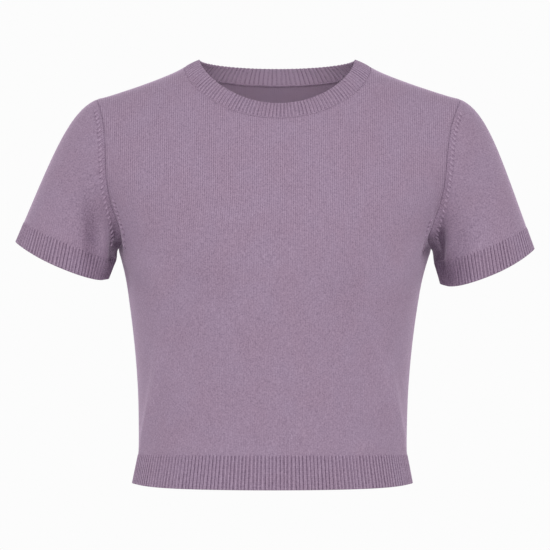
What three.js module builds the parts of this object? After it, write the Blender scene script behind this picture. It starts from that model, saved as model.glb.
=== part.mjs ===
// A cropped short-sleeved jumper in fine plain knit, with ribbed neckband, cuffs and hem.
// It is shown filled out, as when it is worn, and it is hollow: every piece is a thin wall of cloth.
//
// Units are millimetres. X runs across the garment, Y from front to back and Z up, so the front faces -Y.
// The origin lies midway between the two shoulder seams, at the height of their middles.
// Shoulder seams and side seams lie in the plane Y = 0, which parts the front panel from the back one.
//
// Each piece is a grid of points on its outer face. Rows run up the cloth and columns run across it.
// Pieces that are sewn together share their edge points and edge normals, and each edge is then
// drawn back by half the seam gap.
import * as THREE from "three";

// Cloth
const WALL = 2;
const RIB_HEIGHT = 0.9;
const SEAM_GAP = 0.3;
const MITRE_LEAST_COSINE = 0.62;
const LEAST_STEP = 0.3;

// Heights of the hem's edge and of the underarm points
const HEM_Z = -398;
const UNDERARM_Z = -163;

// The hem band is a little deeper at the middle of the front and back than at the side seams.
const HEM_BAND_MIDDLE = 34;
const HEM_BAND_SIDE = 30;

// Neckline seam and neck opening: half-width, height at the sides, and lowest height in front and behind
const NECK_SEAM = { halfWidth: 92.5, side: 18.6, front: -35, back: 3.9, roundness: 1.22 };
const NECK_EDGE = { halfWidth: 77.5, side: 26.2, front: -20.3, back: 20.6, roundness: 1.35 };
const NECK_EDGE_DEPTH = { front: 60, back: 49.5, roundness: 0.8 };
const NECK_BAND_CROWN = 1.2;

// Grid and rib counts
const COLUMNS_AT_NECK = 18;
const COLUMNS_AT_SHOULDER = 8;
const COLUMNS = COLUMNS_AT_NECK + 2 * COLUMNS_AT_SHOULDER;
const COLUMN_CROWDING = 1.35;
const ROWS_BELOW_ARM = 7;
const ROWS_AT_ARMHOLE = 12;
const ROWS_DOWN_SLEEVE = 7;
const HEM_RIBS_PER_PANEL = 97;
const NECK_RIBS = 108;
const CUFF_RIBS = 90;

// The figure under the cloth, as half-ellipses in front of and behind the seam plane. Above the underarm
// they are wider than the panels, whose edges are cut away for the armholes.
const SECTION_POWER = 2.1;
const TORSO = [
  { z: -398, halfWidth: 140, front: 90, back: 88 },
  { z: -390, halfWidth: 138, front: 88.5, back: 85.5 },
  { z: -380, halfWidth: 135.6, front: 87.2, back: 82.5 },
  { z: -368, halfWidth: 134, front: 86.4, back: 80.4 },
  { z: -335, halfWidth: 134, front: 88, back: 78.6 },
  { z: -300, halfWidth: 135.2, front: 91.5, back: 79.4 },
  { z: -260, halfWidth: 138.5, front: 96.5, back: 83.4 },
  { z: -220, halfWidth: 143.6, front: 103, back: 89.4 },
  { z: -191, halfWidth: 148.6, front: 106.6, back: 93.6 },
  { z: -163, halfWidth: 156.5, front: 108, back: 97.4 },
  { z: -137, halfWidth: 165.8, front: 106.4, back: 100 },
  { z: -95, halfWidth: 187, front: 99, back: 100.4 },
  { z: -60, halfWidth: 203, front: 86.5, back: 95.4 },
  { z: -30, halfWidth: 219, front: 75.5, back: 88 },
  { z: 0, halfWidth: 236, front: 67, back: 81 },
  { z: 30, halfWidth: 250, front: 61, back: 76 },
];

// The armhole seam's distance from the middle, from the underarm point to the shoulder tip.
const ARMHOLE = [
  { z: -163, halfWidth: 156.5 },
  { z: -158, halfWidth: 153.2 },
  { z: -150, halfWidth: 151.8 },
  { z: -137, halfWidth: 154.8 },
  { z: -118, halfWidth: 160.8 },
  { z: -95, halfWidth: 165.8 },
  { z: -66, halfWidth: 169 },
  { z: -42, halfWidth: 173 },
  { z: -27, halfWidth: 177 },
  { z: -13.5, halfWidth: 181.5 },
];

// The line of the shoulder, carried on across the neck to shape the cloth below the neckline.
const SHOULDER = [
  { x: 0, z: 30 },
  { x: 45, z: 28.5 },
  { x: 77.5, z: 24.4 },
  { x: 92.5, z: 18.6 },
  { x: 103, z: 13.4 },
  { x: 118, z: 7.2 },
  { x: 134, z: 1.3 },
  { x: 152, z: -4.8 },
  { x: 170, z: -10.5 },
  { x: 181.5, z: -13.5 },
];
const SHOULDER_ROUNDING = { height: 110, power: 2.2 };

// The body of the garment leans a little to one side on the figure.
const LEAN = [
  { z: -398, x: -3.6 },
  { z: -320, x: -3 },
  { z: -210, x: -2.2 },
  { z: -163, x: -1.2 },
  { z: -70, x: 0.3 },
  { z: -40, x: 1.6 },
  { z: -14, x: 2.6 },
  { z: 30, x: 1 },
];

// Soft folds where the cloth turns from the front or back to the side, from chest down to the hem seam.
// angle is the place round the half-ellipse, in degrees from the side seam.
const SIDE_FOLD_WIDTH = 9;
const SIDE_FOLD = [
  { z: -372, angle: 9, height: 1.2 },
  { z: -350, angle: 17, height: 2 },
  { z: -320, angle: 26, height: 2.2 },
  { z: -290, angle: 33, height: 1.5 },
  { z: -262, angle: 38, height: 0.7 },
  { z: -235, angle: 41, height: 0 },
];

// The two rings of each cuff: the point furthest from the body, the point nearest to it and the half-depth.
// The front of a ring drops below the line of those two points and shifts towards the body, and its back
// rises and shifts away.
const SLEEVES = {
  left: {
    side: -1,
    seam: {
      outer: { x: -251.5, z: -136 }, inner: { x: -159.5, z: -173 }, halfDepth: 48,
      front: { drop: 5.5, shift: 5 }, back: { drop: 5.5, shift: 5 },
    },
    edge: {
      outer: { x: -260, z: -156 }, inner: { x: -167.5, z: -192 }, halfDepth: 47,
      front: { drop: 11, shift: 8 }, back: { drop: 4.8, shift: 5.4 },
    },
  },
  right: {
    side: 1,
    seam: {
      outer: { x: 250, z: -141 }, inner: { x: 158, z: -176 }, halfDepth: 48,
      front: { drop: 6.5, shift: 5 }, back: { drop: 6.5, shift: 5 },
    },
    edge: {
      outer: { x: 258, z: -163 }, inner: { x: 164.5, z: -197 }, halfDepth: 47,
      front: { drop: 13, shift: 8 }, back: { drop: 7.3, shift: 5.3 },
    },
  },
};

// How a sleeve leaves the armhole and enters the cuff, at its top and at the underarm. outward and along
// are shares of its first direction, and leave and enter are how far it keeps straight at either end.
const SLEEVE_TOP = { outward: 0.76, along: 0.41, leave: 0.2, enter: 0.545 };
const SLEEVE_UNDER = { outward: 0.25, along: 0.9, leave: 0.33, enter: 0.33 };
const SLEEVE_FULLNESS = 0.12;

const { clamp, degToRad, radToDeg, lerp } = THREE.MathUtils;

// A smooth function through two columns of a table, as Hermite pieces whose slopes come from the neighbours.
function through(rows, from, to) {
  const xs = rows.map((row) => row[from]);
  const ys = rows.map((row) => row[to]);
  const last = xs.length - 1;
  const slopes = xs.map((_, i) => {
    const a = Math.max(i - 1, 0);
    const b = Math.min(i + 1, last);
    return (ys[b] - ys[a]) / (xs[b] - xs[a]);
  });
  return (x) => {
    let i = 0;
    while (i < last - 1 && x > xs[i + 1]) i++;
    const width = xs[i + 1] - xs[i];
    const t = clamp((x - xs[i]) / width, 0, 1);
    const rise = t * t * (3 - 2 * t);
    const leave = t * (1 - t) * (1 - t) * width * slopes[i];
    const arrive = t * t * (1 - t) * width * slopes[i + 1];
    return lerp(ys[i], ys[i + 1], rise) + leave - arrive;
  };
}

const halfWidthAt = through(TORSO, "z", "halfWidth");
const depthAt = { front: through(TORSO, "z", "front"), back: through(TORSO, "z", "back") };
const armholeAt = through(ARMHOLE, "z", "halfWidth");
const shoulderAt = through(SHOULDER, "x", "z");
const leanAt = through(LEAN, "z", "x");
const foldAngleAt = through(SIDE_FOLD, "z", "angle");
const foldHeightAt = through(SIDE_FOLD, "z", "height");

// Lengths along a row of points, from its first point to each of the others.
function lengthsAlong(row, closed) {
  const lengths = [0];
  for (let i = 1; i < row.length + (closed ? 1 : 0); i++) {
    lengths.push(lengths[i - 1] + row[i - 1].distanceTo(row[i % row.length]));
  }
  return lengths;
}

// The place of a length on a row with these lengths, counted in points.
function placeOf(lengths, wanted) {
  const i = clamp(lengths.findIndex((length) => length >= wanted), 1, lengths.length - 1);
  return i - 1 + (wanted - lengths[i - 1]) / (lengths[i] - lengths[i - 1]);
}

// A slightly square half-ellipse: its depth, as a share of its greatest, at a share of its half-width.
const crossDepth = (across) => (1 - Math.abs(across) ** SECTION_POWER) ** (1 / SECTION_POWER);

// How far the cloth has come forward at a distance below the shoulder line: 0 on the line, 1 on the chest.
function shoulderDepth(below) {
  const t = clamp(below / SHOULDER_ROUNDING.height, 0, 1);
  return (1 - (1 - t) ** SHOULDER_ROUNDING.power) ** (1 / SHOULDER_ROUNDING.power);
}

// A point of the front or back panel above the underarm, at x from the middle and at height z.
function yokePoint(x, z, face) {
  const rounding = shoulderDepth(shoulderAt(Math.abs(x)) - z);
  const depth = depthAt[face](z) * crossDepth(x / halfWidthAt(z)) * rounding;
  return new THREE.Vector3(x + leanAt(z), face === "front" ? -depth : depth, z);
}

// A point of the body below the underarm. angle runs from 0 at the side seam on -X to pi at the other one.
function trunkPoint(angle, z, face) {
  const cosine = Math.cos(angle);
  const across = -Math.sign(cosine) * Math.abs(cosine) ** (2 / SECTION_POWER);
  const fromSide = radToDeg(Math.min(angle, Math.PI - angle));
  const width = halfWidthAt(z);
  const depth = depthAt[face](z);
  const apart = (degToRad(fromSide - foldAngleAt(z)) * (width + depth)) / 2;
  const fold = foldHeightAt(z) * Math.exp(-((apart / SIDE_FOLD_WIDTH) ** 2));
  const y = (depth + fold) * Math.sin(angle) ** (2 / SECTION_POWER);
  return new THREE.Vector3((width + fold) * across + leanAt(z), face === "front" ? -y : y, z);
}

// The neckline at an angle from the middle of the front or back: 0 there and a right angle at the shoulder.
function necklineAt(angle, ring, face) {
  const drop = (ring.side - ring[face]) * Math.cos(angle) ** ring.roundness;
  return { x: ring.halfWidth * Math.sin(angle), z: ring.side - drop };
}

// The angles of the neckline's points, which lie closer together near the shoulder.
function neckAngle(fromMiddle) {
  const left = 1 - Math.abs(fromMiddle) / (COLUMNS_AT_NECK / 2);
  return (1 - left ** COLUMN_CROWDING) * (Math.PI / 2);
}

// Where a column of a panel ends: on the shoulder seam, or on the neckline between the two.
function columnTop(column, face) {
  const fromMiddle = column - COLUMNS / 2;
  const side = Math.sign(fromMiddle);
  const out = (Math.abs(fromMiddle) - COLUMNS_AT_NECK / 2) / COLUMNS_AT_SHOULDER;
  if (out <= 0) {
    const { x, z } = necklineAt(neckAngle(fromMiddle), NECK_SEAM, face);
    return { x: side * x, z };
  }
  const x = lerp(NECK_SEAM.halfWidth, SHOULDER.at(-1).x, out);
  return { x: side * x, z: shoulderAt(x) };
}

// The angles round the trunk that part a panel's lower edge into equal columns.
function evenAngles(face) {
  const steps = 720;
  const points = Array.from({ length: steps + 1 }, (_, i) => trunkPoint((i / steps) * Math.PI, HEM_Z, face));
  const lengths = lengthsAlong(points, false);
  return Array.from({ length: COLUMNS + 1 }, (_, column) =>
    (placeOf(lengths, (column / COLUMNS) * lengths.at(-1)) / steps) * Math.PI);
}

// How far from the middle each column crosses the underarm line, as a share of the half-width there.
function underarmShare(column, face) {
  const fromMiddle = column - COLUMNS / 2;
  const side = Math.sign(fromMiddle);
  const out = (Math.abs(fromMiddle) - COLUMNS_AT_NECK / 2) / COLUMNS_AT_SHOULDER;
  const halfWidth = armholeAt(UNDERARM_Z);
  if (out <= 0) return columnTop(column, face).x / halfWidth;
  const neckPoint = NECK_SEAM.halfWidth / halfWidth;
  const start = Math.acos(neckPoint ** (SECTION_POWER / 2));
  return side * Math.cos(start * (1 - out)) ** (2 / SECTION_POWER);
}

// The height of the seam between panel and hem band.
const hemSeamAt = (angle) => HEM_Z + lerp(HEM_BAND_SIDE, HEM_BAND_MIDDLE, Math.sin(angle));

function panelGrid(face) {
  const columns = evenAngles(face).map((hemAngle, column) => {
    const share = underarmShare(column, face);
    const cosine = Math.sign(share) * Math.abs(share) ** (SECTION_POWER / 2);
    return { hemAngle, share, underarmAngle: Math.acos(clamp(-cosine, -1, 1)), top: columnTop(column, face) };
  });
  const rows = [];
  for (let row = 0; row < ROWS_BELOW_ARM; row++) {
    const up = row / ROWS_BELOW_ARM;
    rows.push(columns.map(({ hemAngle, underarmAngle }) =>
      trunkPoint(lerp(hemAngle, underarmAngle, up), lerp(hemSeamAt(hemAngle), UNDERARM_Z, up), face)));
  }
  // Rows crowd together where the armhole turns, at the underarm and on the shoulder.
  for (let row = 0; row <= ROWS_AT_ARMHOLE; row++) {
    const up = (1 - Math.cos((row / ROWS_AT_ARMHOLE) * Math.PI)) / 2;
    rows.push(columns.map(({ share, top }) => {
      const z = lerp(UNDERARM_Z, top.z, up);
      return yokePoint(lerp(share, top.x / armholeAt(top.z), up) * armholeAt(z), z, face);
    }));
  }
  return rows;
}

function hemGrid(face, panel) {
  const angles = evenAngles(face);
  const rowAt = (up) => angles.map((angle) => trunkPoint(angle, lerp(HEM_Z, hemSeamAt(angle), up), face));
  return [rowAt(0), rowAt(0.5), panel[0].map((point) => point.clone())];
}

// The neckline seam as one loop of points, from one shoulder across the front and back again behind.
function necklineLoop(panels) {
  const first = COLUMNS_AT_SHOULDER;
  const last = COLUMNS - COLUMNS_AT_SHOULDER;
  const front = panels.front.at(-1).slice(first, last + 1);
  const back = panels.back.at(-1).slice(first, last + 1);
  return [...front, ...back.slice(1, -1).reverse()].map((point) => point.clone());
}

function neckbandGrid(panels) {
  const seam = necklineLoop(panels);
  const edge = seam.map((_, i) => {
    const inFront = i <= COLUMNS_AT_NECK;
    const face = inFront ? "front" : "back";
    const fromMiddle = (inFront ? i : 2 * COLUMNS_AT_NECK - i) - COLUMNS_AT_NECK / 2;
    const angle = neckAngle(fromMiddle);
    const { x, z } = necklineAt(angle, NECK_EDGE, face);
    const y = NECK_EDGE_DEPTH[face] * Math.max(Math.cos(angle), 0) ** NECK_EDGE_DEPTH.roundness;
    return new THREE.Vector3(Math.sign(fromMiddle) * x + leanAt(z), inFront ? -y : y, z);
  });
  const middle = seam.map((point, i) => {
    const half = point.clone().lerp(edge[i], 0.5);
    const outward = new THREE.Vector3(half.x, half.y, 0).normalize().setZ(1).normalize();
    return half.addScaledVector(outward, NECK_BAND_CROWN);
  });
  return [seam, middle, edge];
}

// A ring round the sleeve. A turn of 0 is its outer point, pi its underarm, and half of pi its front.
function sleeveRing({ outer, inner, halfDepth, front, back }, side, turns) {
  const centre = new THREE.Vector3((outer.x + inner.x) / 2, 0, (outer.z + inner.z) / 2);
  const toOuter = new THREE.Vector3(outer.x, 0, outer.z).sub(centre);
  return turns.map((turn) => {
    const { drop, shift } = Math.sin(turn) > 0 ? front : back;
    const toFront = new THREE.Vector3(-side * shift, -halfDepth, -drop);
    return centre.clone().addScaledVector(toOuter, Math.cos(turn)).addScaledVector(toFront, Math.sin(turn));
  });
}

// The armhole seam as a loop from the shoulder tip down the front to the underarm and up the back.
function armholeLoop(panels, side) {
  const column = side < 0 ? 0 : COLUMNS;
  const front = panels.front.slice(ROWS_BELOW_ARM).map((row) => row[column]);
  const back = panels.back.slice(ROWS_BELOW_ARM).map((row) => row[column]);
  return [...front.reverse(), ...back.slice(1, -1)].map((point) => point.clone());
}

function sleeveGrids(panels, { side, seam, edge }) {
  const armhole = armholeLoop(panels, side);
  const lengths = lengthsAlong(armhole, true);
  const toUnderarm = lengths[ROWS_AT_ARMHOLE];
  const turns = armhole.map((_, i) => Math.PI * (lengths[i] <= toUnderarm
    ? lengths[i] / toUnderarm
    : 1 + (lengths[i] - toUnderarm) / (lengths.at(-1) - toUnderarm)));
  const seamRing = sleeveRing(seam, side, turns);
  const edgeRing = sleeveRing(edge, side, turns);
  const arm = new THREE.Vector3(edge.outer.x - seam.outer.x, 0, edge.outer.z - seam.outer.z).normalize();
  const curves = armhole.map((start, i) => {
    const end = seamRing[i];
    const length = start.distanceTo(end);
    const atTop = (1 + Math.cos(turns[i])) / 2;
    const at = (name) => lerp(SLEEVE_UNDER[name], SLEEVE_TOP[name], atTop);
    const leave = new THREE.Vector3(side * at("outward"), -SLEEVE_FULLNESS * Math.sin(turns[i]), 0)
      .addScaledVector(arm, at("along"))
      .normalize();
    return new THREE.CubicBezierCurve3(
      start,
      start.clone().addScaledVector(leave, length * at("leave")),
      end.clone().addScaledVector(arm, -length * at("enter")),
      end,
    );
  });
  const sleeve = Array.from({ length: ROWS_DOWN_SLEEVE + 1 }, (_, row) =>
    curves.map((curve) => curve.getPoint(row / ROWS_DOWN_SLEEVE)));
  const middle = seamRing.map((point, i) => point.clone().lerp(edgeRing[i], 0.5));
  return { sleeve, cuff: [seamRing.map((point) => point.clone()), middle, edgeRing] };
}

// Normals of a grid, from the differences between neighbouring points. A closed grid is a tube.
function gridNormals({ grid, closed, flip }) {
  const count = grid[0].length;
  return grid.map((row, r) => row.map((_, c) => {
    const up = grid[Math.min(r + 1, grid.length - 1)][c].clone().sub(grid[Math.max(r - 1, 0)][c]);
    const before = closed ? (c + count - 1) % count : Math.max(c - 1, 0);
    const after = closed ? (c + 1) % count : Math.min(c + 1, count - 1);
    const across = row[after].clone().sub(row[before]);
    return (flip ? up.cross(across) : across.cross(up)).normalize();
  }));
}

// Every piece: its grid, whether it is a tube, whether its normals need turning, and its ribs.
function makePieces() {
  const panels = { front: panelGrid("front"), back: panelGrid("back") };
  const pieces = [{ name: "neckband", grid: neckbandGrid(panels), closed: true, ribs: NECK_RIBS }];
  for (const face of ["front", "back"]) {
    const flip = face === "back";
    const hem = hemGrid(face, panels[face]);
    pieces.push({ name: `${face}_panel`, grid: panels[face], flip });
    pieces.push({ name: `hem_rib_${face}`, grid: hem, flip, ribs: HEM_RIBS_PER_PANEL });
  }
  for (const [name, measures] of Object.entries(SLEEVES)) {
    const { sleeve, cuff } = sleeveGrids(panels, measures);
    const flip = measures.side < 0;
    pieces.push({ name: `sleeve_${name}`, grid: sleeve, closed: true, flip });
    pieces.push({ name: `cuff_rib_${name}`, grid: cuff, closed: true, flip, ribs: CUFF_RIBS });
  }
  return pieces.map((piece) => ({ ...piece, normals: gridNormals(piece) }));
}

// At each point that pieces share, one way through the cloth serves them all, lengthened like a mitre.
function addMitres(pieces) {
  const key = (point) => point.toArray().map((value) => Math.round(value * 100)).join();
  const meetings = new Map();
  for (const { grid, normals } of pieces) {
    grid.forEach((row, r) => row.forEach((point, c) => {
      const meeting = meetings.get(key(point)) ?? { sum: new THREE.Vector3(), count: 0 };
      meeting.sum.add(normals[r][c]);
      meeting.count += 1;
      meetings.set(key(point), meeting);
    }));
  }
  for (const piece of pieces) {
    piece.mitres = piece.grid.map((row) => row.map((point) => {
      const { sum, count } = meetings.get(key(point));
      const cosine = Math.max(sum.length() / count, MITRE_LEAST_COSINE);
      return sum.clone().setLength(1 / cosine);
    }));
  }
}

// Draws every edge of a grid back by half the seam gap, within the cloth and square to the edge.
// Where the cloth folds at the seam, the edge moves further, by as much as the mitre is longer.
function drawBack({ grid, normals, mitres, closed, flip }) {
  const zip = (row, r) => row.map((point, c) => ({ point, normal: normals[r][c], mitre: mitres[r][c].length() }));
  const bottom = zip(grid[0], 0);
  const top = zip(grid.at(-1), grid.length - 1).reverse();
  const sides = grid.slice(1, -1).map((row, r) => zip(row, r + 1));
  const loops = closed
    ? [bottom, top]
    : [[...bottom, ...sides.map((row) => row.at(-1)), ...top, ...sides.map((row) => row[0]).reverse()]];
  const moves = loops.flatMap((loop) => loop.map(({ point, normal, mitre }, i) => {
    const before = loop.at(i - 1).point;
    const after = loop[(i + 1) % loop.length].point;
    const squareTo = (a, b) => normal.clone().cross(b.clone().sub(a)).normalize();
    const first = squareTo(before, point);
    const second = squareTo(point, after);
    const reach = ((SEAM_GAP / 2) * mitre) / (1 + first.dot(second));
    return [point, first.add(second).multiplyScalar(flip ? -reach : reach)];
  }));
  moves.forEach(([point, move]) => point.add(move));
}

// The points of a ribbed row: a crest and a valley for each rib, and the points of the plain row among them.
// place is counted in points of the plain row, and rise runs from 0 in a valley to 1 on a crest.
function ribPlaces(lengths, ribs) {
  const step = lengths.at(-1) / (ribs * 2);
  const turns = Array.from({ length: ribs * 2 + 1 }, (_, i) => i * step);
  const clear = turns.filter((at) => lengths.every((length) => Math.abs(length - at) > LEAST_STEP));
  return [...clear, ...lengths].sort((a, b) => a - b).map((at) => ({
    place: placeOf(lengths, at),
    rise: 1 - Math.abs(((at / step) % 2) - 1),
  }));
}

function ribbedRow(row, ways, places) {
  return places.map(({ place, rise }) => {
    const i = Math.min(Math.floor(place), row.length - 1);
    const next = (i + 1) % row.length;
    const way = ways[i].clone().lerp(ways[next], place - i);
    return row[i].clone().lerp(row[next], place - i).addScaledVector(way, rise * RIB_HEIGHT);
  });
}

// The triangles between two rows of numbered points. Each span takes its shorter diagonal, so that pieces
// that are sewn together are cut up alike along their seam. Where the first row has ribs, places says where
// its points lie, counted in points of the second row, and plain is the same row without its ribs.
function joinRows(positions, first, second, { closed, add, places, plain }) {
  const spans = second.length - (closed ? 0 : 1);
  const at = (row, i) => row[i % row.length];
  const guide = plain ?? first.map((id) => positions[id]);
  const endOf = (span) => {
    if (!places) return span + 1;
    if (span === spans - 1) return first.length - (closed ? 0 : 1);
    return places.findIndex(({ place }) => place >= span + 1);
  };
  let i = 0;
  for (let span = 0; span < spans; span++) {
    const end = endOf(span);
    const [from, to] = [at(second, span), at(second, span + 1)];
    const early = at(guide, span).distanceTo(positions[to]) < at(guide, span + 1).distanceTo(positions[from]);
    if (early) add(at(first, i), to, from);
    for (; i < end; i++) add(at(first, i), at(first, i + 1), early ? to : from);
    if (!early) add(at(first, end), to, from);
  }
}

// One closed solid between a grid of outer points and a grid of inner points, with ribs on the outer side.
function wallGeometry({ grid, mitres, closed = false, flip = false, ribs = 0 }) {
  const inner = grid.map((row, r) => row.map((point, c) => point.clone().addScaledVector(mitres[r][c], -WALL)));
  let outer = grid;
  let places;
  if (ribs) {
    const middle = grid[Math.floor(grid.length / 2)];
    places = ribPlaces(lengthsAlong(middle, closed), ribs).slice(0, closed ? -1 : undefined);
    outer = grid.map((row, r) => ribbedRow(row, mitres[r], places));
  }
  const positions = [];
  const numbered = (rows) => rows.map((row) => row.map((point) => positions.push(point) - 1));
  const [out, into] = [numbered(outer), numbered(inner)];
  const triangles = [];
  const outward = (a, b, c) => triangles.push(...(flip ? [a, c, b] : [a, b, c]));
  const inward = (a, b, c) => outward(a, c, b);
  for (let r = 1; r < grid.length; r++) {
    joinRows(positions, out[r - 1], out[r], { closed, add: outward });
    joinRows(positions, into[r - 1], into[r], { closed, add: inward });
  }
  joinRows(positions, out[0], into[0], { closed, add: inward, places, plain: grid[0] });
  joinRows(positions, out.at(-1), into.at(-1), { closed, add: outward, places, plain: grid.at(-1) });
  if (!closed) {
    const column = (rows, c) => rows.map((row) => row.at(c));
    joinRows(positions, column(out, 0), column(into, 0), { closed, add: outward });
    joinRows(positions, column(out, -1), column(into, -1), { closed, add: inward });
  }
  const geometry = new THREE.BufferGeometry();
  geometry.setFromPoints(positions);
  geometry.setIndex(triangles);
  geometry.computeVertexNormals();
  return geometry;
}

const PLAIN_KNIT = new THREE.MeshStandardMaterial({ color: 0x9d859f, roughness: 0.95, metalness: 0 });
const RIB_KNIT = new THREE.MeshStandardMaterial({ color: 0x99809b, roughness: 0.95, metalness: 0 });

const garment = new THREE.Group();
const pieces = makePieces();
addMitres(pieces);
for (const piece of pieces) {
  drawBack(piece);
  const mesh = new THREE.Mesh(wallGeometry(piece), piece.ribs ? RIB_KNIT : PLAIN_KNIT);
  mesh.name = piece.name;
  garment.add(mesh);
}

export default garment;
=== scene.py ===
# %% [markdown]
# # A cropped knit top, filled out as worn
# The real thing is a short-sleeved jumper in fine knit: two body panels and two sleeves in plain
# knit, with ribbed bands at the neck, cuffs and hem. A bare model of its nine pieces comes first, as
# thin hollow walls. This lesson gives each piece a finer surface of the same form, with real ribs,
# seams and stitches, and then the finish of the yarn.

import bpy
import numpy as np
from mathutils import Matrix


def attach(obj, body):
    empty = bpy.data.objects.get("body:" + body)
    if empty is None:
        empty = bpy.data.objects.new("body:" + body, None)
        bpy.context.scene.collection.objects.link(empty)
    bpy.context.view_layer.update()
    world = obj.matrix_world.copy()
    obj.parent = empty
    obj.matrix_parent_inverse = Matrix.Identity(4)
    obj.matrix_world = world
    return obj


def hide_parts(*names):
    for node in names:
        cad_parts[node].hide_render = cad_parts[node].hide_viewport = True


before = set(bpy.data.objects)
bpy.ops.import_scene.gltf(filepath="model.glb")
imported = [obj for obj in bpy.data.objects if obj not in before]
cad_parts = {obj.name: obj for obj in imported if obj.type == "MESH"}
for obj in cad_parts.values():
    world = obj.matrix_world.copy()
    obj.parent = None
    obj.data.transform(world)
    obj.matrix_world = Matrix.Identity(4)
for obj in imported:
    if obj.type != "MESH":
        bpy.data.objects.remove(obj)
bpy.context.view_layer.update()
MM = 0.001
print("nodes:", ", ".join(sorted(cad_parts)))

# %% [markdown]
# ## Camera
# Clothing is photographed from far away with a long lens, so that it keeps its proportions. Here the
# camera stands level, three metres in front of the seams, and the lens is chosen so that one picture
# point covers one millimetre there.

# %% Camera
CAMERA_PLACE = (-1, -3000, -189)  # mm
PICTURE_WIDTH = 550  # mm at the seams


def put(name, data):
    """A new object in the scene."""
    thing = bpy.data.objects.new(name, data)
    bpy.context.scene.collection.objects.link(thing)
    return thing


camera_data = bpy.data.cameras.new("studio_camera")
camera_data.lens = camera_data.sensor_width * -CAMERA_PLACE[1] / PICTURE_WIDTH
camera = put("studio_camera", camera_data)
camera.location = np.array(CAMERA_PLACE) * MM
camera.rotation_euler = (np.pi / 2, 0, 0)
bpy.context.scene.camera = camera
print("lens:", round(camera_data.lens, 1), "mm")

# %% [markdown]
# ## Tables of sizes
# A garment is drawn from a few measurements: how wide and how deep it is at each height, where the
# shoulder runs, and where the armhole lies. Each table below has one row per measurement. A smooth
# function goes through its rows, so the surface can be worked out as finely as it is wanted.

# %% Smooth functions through tables
def through(table, column=1):
    """A smooth function through a table's rows: between two rows it is the cubic that has both values and
    both slopes, where a row's slope is that of the line between its two neighbours."""
    xs, ys = table[:, 0], table[:, column]
    last = len(xs) - 1
    rows = np.arange(last + 1)
    before, after = np.maximum(rows - 1, 0), np.minimum(rows + 1, last)
    slopes = (ys[after] - ys[before]) / (xs[after] - xs[before])

    def value(x):
        i = np.clip(np.searchsorted(xs, x) - 1, 0, last - 1)
        width = xs[i + 1] - xs[i]
        t = np.clip((x - xs[i]) / width, 0, 1)
        rise = t * t * (3 - 2 * t)
        bend = t * (1 - t) ** 2 * slopes[i] - t * t * (1 - t) * slopes[i + 1]
        return ys[i] + (ys[i + 1] - ys[i]) * rise + bend * width

    return value


# z, half-width, depth in front, depth behind: mm
TORSO = np.array([
    (-398, 140, 90, 88), (-390, 138, 88.5, 85.5), (-380, 135.6, 87.2, 82.5), (-368, 134, 86.4, 80.4),
    (-335, 134, 88, 78.6), (-300, 135.2, 91.5, 79.4), (-260, 138.5, 96.5, 83.4), (-220, 143.6, 103, 89.4),
    (-191, 148.6, 106.6, 93.6), (-163, 156.5, 108, 97.4), (-137, 165.8, 106.4, 100), (-95, 187, 99, 100.4),
    (-60, 203, 86.5, 95.4), (-30, 219, 75.5, 88), (0, 236, 67, 81), (30, 250, 61, 76),
])
# z, distance of the armhole seam from the middle
ARMHOLE = np.array([
    (-163, 156.5), (-157, 154.9), (-149, 154.4), (-137, 157.2), (-118, 162.8), (-95, 166.9), (-66, 168.9),
    (-42, 171.9), (-27, 176.2), (-13.5, 181.5),
])
# x, height of the shoulder
SHOULDER = np.array([
    (0, 30), (45, 28.5), (77.5, 24.4), (92.5, 18.6), (103, 13.4), (118, 7.2), (134, 1.3), (152, -4.8),
    (170, -10.5), (181.5, -13.5),
])
# z, sideways lean
LEAN = np.array([
    (-398, -3.6), (-320, -3), (-210, -2.2), (-163, -1.2), (-70, 0.3), (-40, 1.6), (-14, 2.6), (30, 1),
])
# z, place of the soft side fold in degrees from the side seam, its height
SIDE_FOLD = np.array([
    (-372, 9, 1.2), (-350, 17, 2), (-320, 26, 2.2), (-290, 33, 1.5), (-262, 38, 0.7), (-235, 41, 0),
])

torso_width, torso_depth = through(TORSO), {-1: through(TORSO, 2), 1: through(TORSO, 3)}
armhole_width, shoulder_height, lean = through(ARMHOLE), through(SHOULDER), through(LEAN)
fold_angle, fold_height = through(SIDE_FOLD), through(SIDE_FOLD, 2)
print("half-width at the waist:", float(torso_width(-335)), "mm")

# %% [markdown]
# ## The body as one surface
# The front and back panels could be sculpted, but a knitter works to measurements, and so does this.
# A cross-section of the body is a slightly square ellipse. Below the underarm a point is found by its
# angle round that ellipse. Above, it is found by its distance from the middle, and the depth shrinks
# to nothing at the shoulder line, so the cloth rounds over the shoulder.

# %% Points of the body
SECTION_POWER = 2.1
FOLD_WIDTH = 9  # mm
SHOULDER_ROUNDING = (110, 2.2)  # mm below the shoulder line, power


def trunk(angle, z, face):
    """A point below the underarm: width times the cosine and depth times the sine of the angle, each
    raised to 2 / power, pushed out by the soft side fold. face is -1 in front and 1 behind."""
    cosine = np.cos(angle)
    across = -np.sign(cosine) * np.abs(cosine) ** (2 / SECTION_POWER)
    width, depth = torso_width(z), torso_depth[face](z)
    from_side = np.minimum(angle, np.pi - angle)
    apart = (from_side - np.radians(fold_angle(z))) * (width + depth) / 2
    fold = fold_height(z) * np.exp(-((apart / FOLD_WIDTH) ** 2))
    y = (depth + fold) * np.clip(np.sin(angle), 0, 1) ** (2 / SECTION_POWER)
    return np.stack(np.broadcast_arrays((width + fold) * across + lean(z), face * y, z), -1)


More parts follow.
